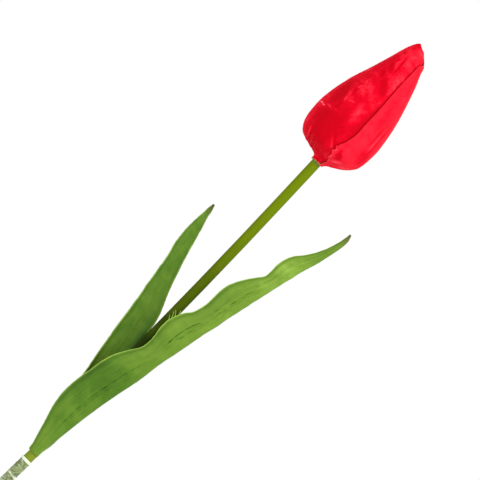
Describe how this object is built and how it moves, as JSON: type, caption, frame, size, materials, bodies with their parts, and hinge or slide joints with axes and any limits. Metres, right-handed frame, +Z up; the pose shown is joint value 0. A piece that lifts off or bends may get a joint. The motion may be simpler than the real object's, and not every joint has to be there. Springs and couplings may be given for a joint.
{
  "type": "artificial tulip",
  "caption": "Closed red cloth tulip bud on a gently leaning plastic-covered wire stem, with two clasping cloth leaves and a clear film wrap.",
  "frame": {"origin": "centre of the stem's cut end", "axes": "+Z up the straight lower stem towards the bud; the long leaf is in front, on the -Y side, and the upper stem leans towards -X"},
  "size_m": [0.0518, 0.0316, 0.3653],
  "materials": {
    "stem_green": "satin moulded green plastic, darker towards the cut end",
    "steel_wire": "plain drawn steel wire",
    "clear_film": "clear crinkled film",
    "white_film": "turned-over edge of the film, milky",
    "pale_plastic": "pale moulded plastic",
    "foam": null,
    "petal_red": "satin-faced red cloth, heat formed",
    "petal_inner": "red cloth, darker",
    "leaf_green": "coated green cloth with pressed veins",
    "leaf_inner": "coated green cloth"
  },
  "bodies": {
    "stem": {"stem_sheath": "stem_green", "stem_wire": "steel_wire", "clear_wrap": "clear_film", "wrap_edge_band": "white_film", "leaf_collar": "stem_green"},
    "peg": {"head_peg": "stem_green"},
    "head": {"receptacle": "pale_plastic", "bud_core": "foam", "inner_petal_1": "petal_inner", "inner_petal_2": "petal_inner", "inner_petal_3": "petal_inner", "outer_petal_left": "petal_red", "outer_petal_right": "petal_red", "outer_petal_back": "petal_red"},
    "long_leaf": {"long_leaf_outer_ply": "leaf_green", "long_leaf_inner_ply": "leaf_inner", "long_leaf_wire": "steel_wire"},
    "short_leaf": {"short_leaf_outer_ply": "leaf_green", "short_leaf_inner_ply": "leaf_inner", "short_leaf_wire": "steel_wire"}
  },
  "joints": [
    {"name": "head_pull", "type": "slide", "parent": "stem", "child": "peg", "axis": [-0.0666, 0, 0.9978], "range_m": [0, 0.012]},
    {"name": "head_turn", "type": "hinge", "parent": "peg", "child": "head", "pos_m": [-0.008, 0, 0.29981], "axis": [-0.0666, 0, 0.9978], "continuous": true},
    {"name": "long_leaf_bend", "type": "hinge", "parent": "stem", "child": "long_leaf", "pos_m": [-0.00042, -0.00253, 0.1299], "axis": [1, 0, 0], "range_deg": [0, 50]},
    {"name": "short_leaf_bend", "type": "hinge", "parent": "stem", "child": "short_leaf", "pos_m": [-0.00042, 0.00253, 0.1299], "axis": [-1, 0, 0], "range_deg": [0, 50]}
  ]
}
